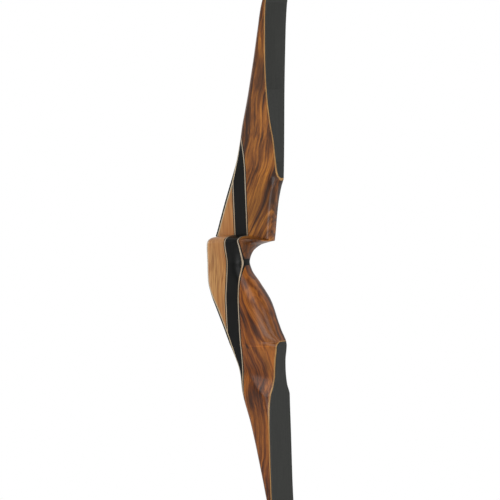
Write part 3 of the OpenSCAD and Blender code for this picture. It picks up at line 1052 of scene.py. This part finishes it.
    def build(self) -> list[bpy.types.Object]:
        """Builds the six pieces. All bend smoothly from the riser to where the rigid overlay starts.

        Returns:
            The pieces.
        """
        s = self.sizes
        side = "upper" if self.upper else "lower"
        wedge_from, overlay_from = s.limb_len - s.wedge_len, s.limb_len - s.overlay_len
        plans = [
            StripPlan("belly_glass_strip", "limb_belly_glass", 0, 0.0, "limb_belly_glass", "belly_glass"),
            StripPlan(
                "belly_wood_strip", "limb_belly_lamination", 1, 0.0, "limb_belly_wood", "tan_lamination",
            ),
            StripPlan("tip_wedge_wood", "tip_wedge", 2, wedge_from, "tip_wood", "figured_wood"),
            StripPlan("back_wood_strip", "limb_back_lamination", 3, 0.0, "limb_back_wood", "pale_lamination"),
            StripPlan("back_glass_strip", "limb_back_glass", 4, 0.0, "limb_back_glass", "back_glass"),
            StripPlan("tip_overlay_block", "tip_overlay", 5, overlay_from, "tip_overlay", "tip_overlay"),
        ]
        bend = self.belly(np.array([self.bend_end]))[0]
        made = []
        for plan in plans:
            points, flat = self.layer_points(plan.layer, plan.s_from)
            faces = loft_faces(*points.shape[:2])
            if not self.upper:
                faces = [face[::-1] for face in faces]
            piece = make_piece(
                f"{side}_{plan.name}", points.reshape(-1, 3), faces, self.crease_deg, flat.reshape(-1, 2),
            )
            piece.data.materials.append(self.finishes[plan.finish])
            if plan.s_from < self.bend_end:
                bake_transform(piece)
            else:
                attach(piece, self.body.value)
            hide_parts(f"{side}_{plan.node}")
            made.append(piece)
        return made


class Pattern(Enum):
    """Where a finish reads its pattern: through the solid, or along a strip by its UV map."""

    SOLID = "Object"
    STRIP = "UV"

    def place(self, tree: Tree) -> Source:
        """Adds the pattern's coordinates, with Z along the bow.

        Args:
            tree: The material's node tree.

        Returns:
            The coordinates.
        """
        place = add_node(tree, "TexCoord").outputs[self.value]
        if self is Pattern.SOLID:
            return place
        return add_node(tree, "Mapping", {"Vector": place, "Rotation": (math.radians(90), 0, 0)})


@dataclass(frozen=True)
class Lacquer:
    """Clear two-part lacquer, sprayed and rubbed out: a soft-edged gloss over whatever it covers."""

    weight: float = 0.55
    roughness: float = 0.28
    specular: float = 0.12


def start_material(name: str) -> tuple[bpy.types.Material, Tree]:
    """Makes an empty node material.

    Args:
        name: Its name.

    Returns:
        The material and its node tree.
    """
    material = bpy.data.materials.new(name)
    material.use_nodes = True
    material.node_tree.nodes.clear()
    return material, material.node_tree


def finish_material(tree: Tree, lacquer: Lacquer, sockets: dict[str, Any]) -> None:
    """Adds the surface under its lacquer and the output.

    Args:
        tree: The material's node tree.
        lacquer: The clear finish over the surface.
        sockets: Further inputs of the surface shader.
    """
    surface = add_node(tree, "BsdfPrincipled", {
        "Coat Weight": lacquer.weight, "Coat Roughness": lacquer.roughness,
        "Specular IOR Level": lacquer.specular, **sockets,
    })
    add_node(tree, "OutputMaterial", {"Surface": surface})


def bent_grain(tree: Tree, place: Source, turn_deg: Triple, waves: Points) -> Source:
    """Turns a pattern's coordinates and bends them: place + reach * (noise - 0.5) for each wave.

    Args:
        tree: The material's node tree.
        place: The coordinates.
        turn_deg: Turn about each axis in degrees.
        waves: Size and reach of each wave in millimetres.

    Returns:
        The bent coordinates.
    """
    turn = tuple(math.radians(angle) for angle in turn_deg)
    turned = bent = add_node(tree, "Mapping", {"Vector": place, "Rotation": turn})
    for size, reach in waves:
        noise = add_node(tree, "TexNoise", {"Vector": turned, "Scale": per_mm(size), "Detail": 1.0})
        off = add_node(tree, "VectorMath", {0: noise.outputs["Color"], 1: (0.5,) * 3}, operation="SUBTRACT")
        bent = add_node(tree, "VectorMath", {0: off, 1: (reach * MM,) * 3, 2: bent}, operation="MULTIPLY_ADD")
    return bent


def drawn_noise(tree: Tree, place: Source, size_mm: float, stretch: Triple, detail: float,
                roughness: float = 0.5) -> Source:
    """Noise whose features have a real size and are drawn out along the grain.

    Args:
        tree: The material's node tree.
        place: Coordinates with Z along the grain.
        size_mm: Size of a feature before it is drawn out.
        stretch: Scale along each axis, below 1 where the features are longer.
        detail: Octaves of finer noise.
        roughness: Strength of each octave in the one before it.

    Returns:
        Its level, from 0 to 1.
    """
    drawn = add_node(tree, "Mapping", {"Vector": place, "Scale": stretch})
    return add_node(tree, "TexNoise", {
        "Vector": drawn, "Scale": per_mm(size_mm), "Detail": detail, "Roughness": roughness,
    })


@dataclass(frozen=True)
class MarkOrPaintedLight:
    """A knot, darker or paler zone, or painted highlight over wood: an ellipsoid fading out to its edge."""

    centre_mm: Triple
    half_mm: Triple
    level: float

    def shade(self, tree: Tree, place: Source, colour: Source, centre: Triple) -> Source:
        """Multiplies a colour by 1 + (level - 1) * smoothstep(1 - |(place - centre) / half|).

        Args:
            tree: The material's node tree.
            place: Coordinates that lean with the grain.
            colour: The colour of the wood.
            centre: The mark's centre in those coordinates.

        Returns:
            The marked colour.
        """
        off = add_node(tree, "VectorMath", {0: place, 1: centre}, operation="SUBTRACT")
        half = tuple(v * MM for v in self.half_mm)
        share = add_node(tree, "VectorMath", {0: off, 1: half}, operation="DIVIDE")
        reach = add_node(tree, "VectorMath", {0: share}, operation="LENGTH")
        level = add_node(tree, "MapRange", {
            "Value": reach, "To Min": self.level, "To Max": 1.0,
        }, interpolation_type="SMOOTHSTEP")
        return add_node(tree, "VectorMath", {0: colour, "Scale": level}, operation="SCALE")


@dataclass(frozen=True)
class FiguredWood:
    """Figured tropical hardwood such as bocote, sawn and sanded: growth rings in dark and golden bands."""

    name: str
    lean: float
    curl: float
    turn_deg: Triple
    pith_mm: tuple[float, float]
    deep: str = "#2c1304"
    dark: str = "#4e2a0a"
    middle: str = "#764213"
    light: str = "#ab6c24"
    streak_mm: float = 1.9
    band_mm: float = 6.0
    cloud_mm: float = 26.0
    pore_mm: float = 1.3
    pore_depth_mm: float = 0.02
    waves: Points = ((60.0, 16.0), (18.0, 2.4))
    # Knots, darker and paler zones, and painted highlights laid over the colour.
    marks: tuple[MarkOrPaintedLight, ...] = ()
    lacquer: Lacquer = Lacquer()

    def follow_grain(self, tree: Tree, place: Source) -> Source:
        """Bends coordinates so that Z runs with grain that leans and curls: y - lean z - curl z^2 / 2.

        Args:
            tree: The material's node tree.
            place: The solid's own coordinates.

        Returns:
            The bent coordinates.
        """
        across, reach, height = add_node(tree, "SeparateXYZ", {"Vector": place}).outputs
        slope = add_node(tree, "Math", {0: height, 1: self.curl / 2, 2: self.lean}, operation="MULTIPLY_ADD")
        drift = add_node(tree, "Math", {0: height, 1: slope}, operation="MULTIPLY")
        level = add_node(tree, "Math", {0: reach, 1: drift}, operation="SUBTRACT")
        return add_node(tree, "CombineXYZ", {"X": across, "Y": level, "Z": height})

    def build(self) -> bpy.types.Material:
        """Builds the material.

        The solid's own coordinates are bent so that Z runs with the grain, turned, and bent again by
        broad and narrow noise. Noise drawn out along the grain adds streaks, the distance from the
        pith, r = sqrt(x^2 + y^2), goes through one-dimensional noise for the growth rings, and broad
        noise gathers dark and light patches. Fine noise adds the pores and the glint of the grain, and
        the marks lie over it all: knots, darker and paler zones, and painted highlights.

        Returns:
            The material.
        """
        material, tree = start_material(self.name)
        place = self.follow_grain(tree, Pattern.SOLID.place(tree))
        grain = bent_grain(tree, place, self.turn_deg, self.waves)
        pith = (self.pith_mm[0] * MM, self.pith_mm[1] * MM, 0)
        from_pith = add_node(tree, "Mapping", {"Vector": grain, "Location": pith, "Scale": (1, 1, 0)})
        reach = add_node(tree, "VectorMath", {0: from_pith}, operation="LENGTH")
        ring = add_node(tree, "TexNoise", {
            "W": reach, "Scale": per_mm(self.band_mm), "Detail": 2.5, "Roughness": 0.6,
        }, noise_dimensions="1D")
        streak = drawn_noise(tree, grain, self.streak_mm, stretch=(0.4, 1, 0.035), detail=2.5, roughness=0.6)
        cloud = drawn_noise(tree, grain, self.cloud_mm, stretch=(1, 1, 0.4), detail=1.5)
        pore = drawn_noise(tree, grain, self.pore_mm, stretch=(1, 1, 0.2), detail=1.5)
        bands = add_node(tree, "Mix", {"Factor": 0.5, "A": ring, "B": streak}, data_type="FLOAT")
        figure = add_node(tree, "Mix", {"Factor": 0.4, "A": bands, "B": cloud}, data_type="FLOAT")
        colour = add_node(tree, "ValToRGB", {"Fac": figure}, ramp=(
            (0.39, self.deep), (0.46, self.dark), (0.52, self.middle), (0.61, self.light),
        ))
        glint = add_node(tree, "MapRange", {
            "Value": pore, "From Min": 0.3, "From Max": 0.7, "To Min": 0.84, "To Max": 1.18,
        })
        tinted = add_node(tree, "VectorMath", {0: colour, "Scale": glint}, operation="SCALE")
        for mark in self.marks:
            x, y, z = (v * MM for v in mark.centre_mm)
            tinted = mark.shade(tree, place, tinted, (x, y - z * (self.lean + self.curl / 2 * z), z))
        rough = add_node(tree, "MapRange", {"Value": pore, "To Min": 0.55, "To Max": 0.4})
        bump = add_node(tree, "Bump", {"Height": pore, "Distance": self.pore_depth_mm * MM, "Strength": 0.4})
        finish_material(tree, self.lacquer, {"Base Color": tinted, "Roughness": rough, "Normal": bump})
        return material


@dataclass(frozen=True)
class Stain:
    """Stain over a lamination's edge beyond two heights, between which the wood is bare."""

    colour: str
    low_mm: float
    high_mm: float
    fade_mm: float = 10.0

    def over(self, tree: Tree, place: Source, colour: Source) -> Source:
        """Lays the stain over a colour where the height is beyond the middle by more than half the gap.

        Args:
            tree: The material's node tree.
            place: Coordinates with Z along the bow.
            colour: The colour of the bare wood.

        Returns:
            The stained colour.
        """
        middle, half = (self.low_mm + self.high_mm) / 2, (self.high_mm - self.low_mm) / 2
        height = add_node(tree, "SeparateXYZ", {"Vector": place}).outputs["Z"]
        off = add_node(tree, "Math", {0: height, 1: middle * MM}, operation="SUBTRACT")
        reach = add_node(tree, "Math", {0: off}, operation="ABSOLUTE")
        share = add_node(tree, "MapRange", {
            "Value": reach, "From Min": (half - self.fade_mm) * MM, "From Max": half * MM,
        }, interpolation_type="SMOOTHSTEP")
        return add_node(tree, "Mix", {
            "Factor": share, FIRST_COLOUR: colour, SECOND_COLOUR: linear(self.colour),
        }, data_type="RGBA")


@dataclass(frozen=True)
class StraightWood:
    """Straight-grained wood or veneer, sliced and sanded: fine even lines along the grain."""

    name: str
    dark: str
    light: str
    warm: str
    turn_deg: Triple = (0.0, 0.0, 0.0)
    line_mm: float = 1.2
    cloud_mm: float = 20.0
    warmth: float = 0.25
    waves: Points = ((50.0, 8.0),)
    pattern: Pattern = Pattern.SOLID
    stain: Stain | None = None
    lacquer: Lacquer = Lacquer()

    def build(self) -> bpy.types.Material:
        """Builds the material: noise drawn out along the grain and the rings, with warm patches.

        Returns:
            The material.
        """
        material, tree = start_material(self.name)
        place = self.pattern.place(tree)
        grain = bent_grain(tree, place, self.turn_deg, self.waves)
        lines = drawn_noise(tree, grain, self.line_mm, stretch=(0.3, 1, 0.025), detail=2.0, roughness=0.6)
        colour = add_node(tree, "ValToRGB", {"Fac": lines}, ramp=((0.32, self.dark), (0.62, self.light)))
        cloud = drawn_noise(tree, grain, self.cloud_mm, stretch=(1, 1, 0.4), detail=1.0)
        share = add_node(tree, "MapRange", {
            "Value": cloud, "From Min": 0.4, "From Max": 0.68, "To Max": self.warmth,
        })
        warmed = add_node(tree, "Mix", {
            "Factor": share, FIRST_COLOUR: colour, SECOND_COLOUR: linear(self.warm),
        }, data_type="RGBA")
        if self.stain:
            warmed = self.stain.over(tree, place, warmed)
        finish_material(tree, self.lacquer, {"Base Color": warmed, "Roughness": 0.5})
        return material


@dataclass(frozen=True)
class GlassLaminate:
    """Uni-directional glass fibre in resin, moulded and scuffed satin: faint fibres run up the strip."""

    name: str
    dark: str
    light: str
    roughness: float = 0.5
    spread: float = 0.05
    fibre_mm: float = 0.9
    pattern: Pattern = Pattern.SOLID
    lacquer: Lacquer = Lacquer(weight=0.1, roughness=0.35, specular=0.18)

    def build(self) -> bpy.types.Material:
        """Builds the material: fibres drawn 0.9 mm apart, coarser than real ones so that they show.

        Returns:
            The material.
        """
        material, tree = start_material(self.name)
        fibre = drawn_noise(tree, self.pattern.place(tree), self.fibre_mm, stretch=(1, 0, 0.02), detail=3.0)
        colour = add_node(tree, "ValToRGB", {"Fac": fibre}, ramp=((0.3, self.dark), (0.7, self.light)))
        rough = add_node(tree, "MapRange", {
            "Value": fibre, "To Min": self.roughness - self.spread, "To Max": self.roughness + self.spread,
        })
        finish_material(tree, self.lacquer, {"Base Color": colour, "Roughness": rough})
        return material


def bow_finishes() -> dict[str, bpy.types.Material]:
    """Builds every finish of the bow.

    Returns:
        The materials, keyed by the name that the pieces use.
    """
    # Broad dark zones in the window wood, and a paler one between them.
    window_marks = (
        MarkOrPaintedLight((4.4, -12.0, 62.0), (18.0, 46.0, 56.0), 0.6),
        MarkOrPaintedLight((-18.0, -29.0, 214.0), (18.0, 11.0, 56.0), 0.42),
        MarkOrPaintedLight((-20.0, -12.0, 128.0), (20.0, 14.0, 34.0), 1.25),
        MarkOrPaintedLight((-17.0, -26.0, 262.0), (14.0, 4.0, 40.0), 0.5),
    )
    # A painted highlight: the fine pale line across the heel, where the crease's edge catches the light. Then
    # the knot on it, and broad dark zones above and below.
    grip_marks_and_painted_highlight = (
        # Painted highlight along the heel's crease, lightening the wood's colour.
        MarkOrPaintedLight((-10.0, -27.0, -94.9), (40.0, 44.0, 1.2), 1.45),
        MarkOrPaintedLight((-20.0, -13.5, -95.3), (8.0, 2.8, 6.0), 0.1),
        MarkOrPaintedLight((-11.0, -35.0, -116.0), (14.0, 6.0, 26.0), 0.5),
        MarkOrPaintedLight((-20.0, -19.0, -158.0), (12.0, 7.0, 20.0), 0.5),
        MarkOrPaintedLight((-8.0, -38.0, -78.0), (24.0, 18.0, 42.0), 0.55),
        MarkOrPaintedLight((-20.0, -30.0, -190.0), (16.0, 30.0, 70.0), 0.72),
    )
    # Bamboo, glued up and sanded: close, even, golden-brown lines.
    bamboo = StraightWood("bamboo_lamination", "#8a6234", "#ab8149", "#9c6a30", line_mm=0.8)
    # Pigmented glass fibre, scuffed and sprayed: charcoal on the belly, black on the back, nearly even.
    charcoal = GlassLaminate("charcoal_glass_laminate", "#292a28", "#333431")
    black = GlassLaminate("black_glass_laminate", "#0d0d0d", "#161615", roughness=0.4)
    strip = Pattern.STRIP
    finishes = {
        # One board on each side of the throat: wavy brown and gold bands, deeper brown in the grip.
        "figured_wood": FiguredWood(
            "figured_hardwood_window", lean=-0.61, curl=2.0, turn_deg=(0.0, 8.0, 0.0), pith_mm=(60, 120),
            marks=window_marks,
        ),
        "figured_wood_low": FiguredWood(
            "figured_hardwood_grip", lean=0.606, curl=2.68, turn_deg=(0.0, 5.0, 0.0), pith_mm=(45, 20),
            deep="#260e03", dark="#452007", middle="#69350d", light="#9b5a1d", marks=grip_marks_and_painted_highlight,
        ),
        # A thin wedge of the same timber: plain brown, seen on its edges only.
        "tip_wood": StraightWood(
            "hardwood_tip_wedge", "#45260b", "#84501e", "#5c3410", warmth=0.8, pattern=strip,
        ),
        # A straight-grained board: tan with pale lines and warmer clouds.
        "back_wood": StraightWood(
            "tan_hardwood_back", "#7f532f", "#b48653", "#a2652d", turn_deg=(4.0, 4.0, 0.0), line_mm=1.5,
            cloud_mm=22.0, warmth=0.6, waves=((50.0, 4.0),),
        ),
        # Wood dyed through: black, with hardly a line of grain, and less gloss than the rest.
        "black_stripe": StraightWood(
            "black_dyed_hardwood", "#060706", "#0e0f0e", "#090a09",
            lacquer=Lacquer(weight=0.32, roughness=0.3, specular=0.04),
        ),
        # Maple: cream pinstripes and a cream lamination, which stain darkens towards the limbs and on them.
        "pale_pinstripe": StraightWood(
            "maple_veneer_line", "#8b7b69", "#ab9d89", "#a5855c", line_mm=0.8, warmth=0.6,
        ),
        "pale_lamination": StraightWood(
            "maple_lamination", "#9c8d75", "#b8a98e", "#a98c63", line_mm=0.8,
            stain=Stain("#5e3517", -145.0, 139.0),
        ),
        "limb_back_wood": StraightWood(
            "maple_limb_lamination", "#54300f", "#6b4119", "#5e3517", line_mm=0.8, pattern=strip,
        ),
        "tan_lamination": bamboo,
        "limb_belly_wood": replace(bamboo, name="bamboo_limb_lamination", pattern=strip),
        "belly_glass": charcoal,
        "limb_belly_glass": replace(charcoal, name="charcoal_limb_glass", pattern=strip),
        "back_glass": black,
        "limb_back_glass": replace(black, name="black_limb_glass", pattern=strip),
        # Solid black laminate, filed and buffed: the smoothest black on the bow.
        "tip_overlay": GlassLaminate("black_tip_laminate", "#0c0c0c", "#161616", roughness=0.35),
    }
    return {key: finish.build() for key, finish in finishes.items()}


@dataclass(frozen=True)
class Lamp:
    """One square or oblong soft box: its place, its width and height, and its power."""

    name: str
    place: Triple
    width: float
    height: float
    watts: float


@dataclass
class Studio:
    """Pale floor, white backdrop, soft boxes and the photograph's camera."""

    azimuth: float = -55.0
    elevation: float = 3.0
    mm_per_pixel: float = 1.15
    pixels: int = 500
    distance: float = 3.6
    sensor_mm: float = 36.0
    centre_right_mm: float = 3.2
    centre_up_mm: float = 13.8
    room_level: float = 0.22
    backdrop_level: float = 0.7
    floor_half: float = 12.0
    floor_gap: float = 0.002
    lamps_aim: Triple = (0.0, 0.0, 0.02)
    lamps: tuple[Lamp, ...] = (
        Lamp("key_softbox", (-1.95, -0.75, 1.9), 1.9, 1.9, 29.0),
        Lamp("front_softbox", (-2.3, -1.42, -0.1), 1.4, 1.4, 21.5),
        Lamp("belly_softbox", (-0.5, -2.7, 0.6), 1.6, 1.6, 20.0),
        Lamp("back_wall", (-0.6, 2.4, 0.4), 3.0, 2.2, 20.0),
        Lamp("rim_softbox", (-0.83, 2.3, 0.86), 0.5, 0.5, 16.0),
    )

    def facing(self) -> tuple[Vector, Vector]:
        """Direction from the bow to the camera, and the picture's one to the right.

        Returns:
            The two directions.
        """
        a, e = math.radians(self.azimuth), math.radians(self.elevation)
        back = Vector((math.sin(a) * math.cos(e), -math.cos(a) * math.cos(e), math.sin(e)))
        return back, Vector((math.cos(a), math.sin(a), 0))

    def hang(self, name: str, data: bpy.types.ID, place: Vector, ahead: Vector) -> bpy.types.Object:
        """Hangs a camera or a lamp.

        Args:
            name: Its name.
            data: The camera or lamp.
            place: Where it hangs.
            ahead: Where it points.

        Returns:
            Its object.
        """
        thing = put_in_scene(name, data)
        thing.location = place
        thing.rotation_mode = "QUATERNION"
        thing.rotation_quaternion = ahead.to_track_quat("-Z", "Y")
        return thing

    def add_camera(self) -> None:
        """Puts the camera where one pixel covers 1.15 mm of the bow, at the photograph's angle."""
        back, right = self.facing()
        aim = (right * self.centre_right_mm + back.cross(right) * self.centre_up_mm) * MM
        data = bpy.data.cameras.new("photo_camera")
        data.sensor_width = self.sensor_mm
        data.lens = self.sensor_mm * self.distance / (self.pixels * self.mm_per_pixel * MM)
        data.clip_end = 100.0
        bpy.context.scene.camera = self.hang("photo_camera", data, aim + back * self.distance, -back)

    def add_world(self) -> None:
        """White to the camera. Other rays see a bright backdrop behind the bow and a dimmer room."""
        world = bpy.data.worlds.new("studio")
        bpy.context.scene.world = world
        world.use_nodes = True
        tree = world.node_tree
        tree.nodes.clear()
        back, _ = self.facing()
        place = add_node(tree, "TexCoord").outputs["Generated"]
        facing = add_node(tree, "VectorMath", {0: place, 1: tuple(-back)}, operation="DOT_PRODUCT")
        level = add_node(tree, "MapRange", {
            "Value": facing, "From Min": -0.35, "From Max": 0.45,
            "To Min": self.room_level, "To Max": self.backdrop_level,
        }, interpolation_type="SMOOTHSTEP")
        camera_ray = add_node(tree, "LightPath").outputs["Is Camera Ray"]
        strength = add_node(tree, "Mix", {"Factor": camera_ray, "A": level, "B": 1.0}, data_type="FLOAT")
        background = add_node(tree, "Background", {"Color": (1, 1, 1, 1), "Strength": strength})
        add_node(tree, "OutputWorld", {"Surface": background})

    def add_floor(self, height: float) -> None:
        """Lays a pale matt floor, which is plain white to the camera and in reflections.

        Args:
            height: Its height in metres.
        """
        mesh = bpy.data.meshes.new("floor")
        half = self.floor_half
        corners = [(x * half, y * half, height) for x, y in ((-1, -1), (1, -1), (1, 1), (-1, 1))]
        mesh.from_pydata(corners, [], [(0, 1, 2, 3)])
        material, tree = start_material("pale_floor")
        matt = add_node(tree, "BsdfDiffuse", {"Color": linear("#e9e9e7")})
        rays = add_node(tree, "LightPath").outputs
        camera_ray, glossy_ray = rays["Is Camera Ray"], rays["Is Glossy Ray"]
        level = add_node(tree, "Mix", {
            "Factor": camera_ray, "A": self.backdrop_level, "B": 1.0,
        }, data_type="FLOAT")
        glow = add_node(tree, "Emission", {"Color": (1, 1, 1, 1), "Strength": level})
        seen = add_node(tree, "Math", {0: camera_ray, 1: glossy_ray}, operation="MAXIMUM")
        either = add_node(tree, "MixShader", {0: seen, 1: matt, 2: glow})
        add_node(tree, "OutputMaterial", {"Surface": either})
        mesh.materials.append(material)
        put_in_scene("floor", mesh)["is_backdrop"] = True

    def add_lamps(self) -> None:
        """Hangs the soft boxes, all pointing at the middle of the bow."""
        for lamp in self.lamps:
            data = bpy.data.lights.new(lamp.name, "AREA")
            data.shape = "RECTANGLE"
            data.size, data.size_y = lamp.width, lamp.height
            data.energy = lamp.watts
            place = Vector(lamp.place)
            self.hang(lamp.name, data, place, Vector(self.lamps_aim) - place)

    def build(self, lowest: float) -> None:
        """Builds the whole studio.

        Args:
            lowest: Height of the bow's lowest point in metres.
        """
        self.add_camera()
        self.add_world()
        self.add_floor(lowest - self.floor_gap)
        self.add_lamps()
        bpy.context.scene.view_settings.view_transform = "Standard"


def main() -> None:
    """Builds the studio and the bow's three bodies, and reports each piece."""
    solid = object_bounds()
    Studio().build(solid[0].z)
    sizes = BowSizes()
    finishes = bow_finishes()
    assemblies = [
        Riser(sizes, finishes), Limb(Body.UPPER, sizes, finishes), Limb(Body.LOWER, sizes, finishes),
    ]
    for assembly in assemblies:
        for piece in assembly.build():
            log.info("%s: %d vertices", piece.name, len(piece.data.vertices))


if __name__ == "__main__":
    main()
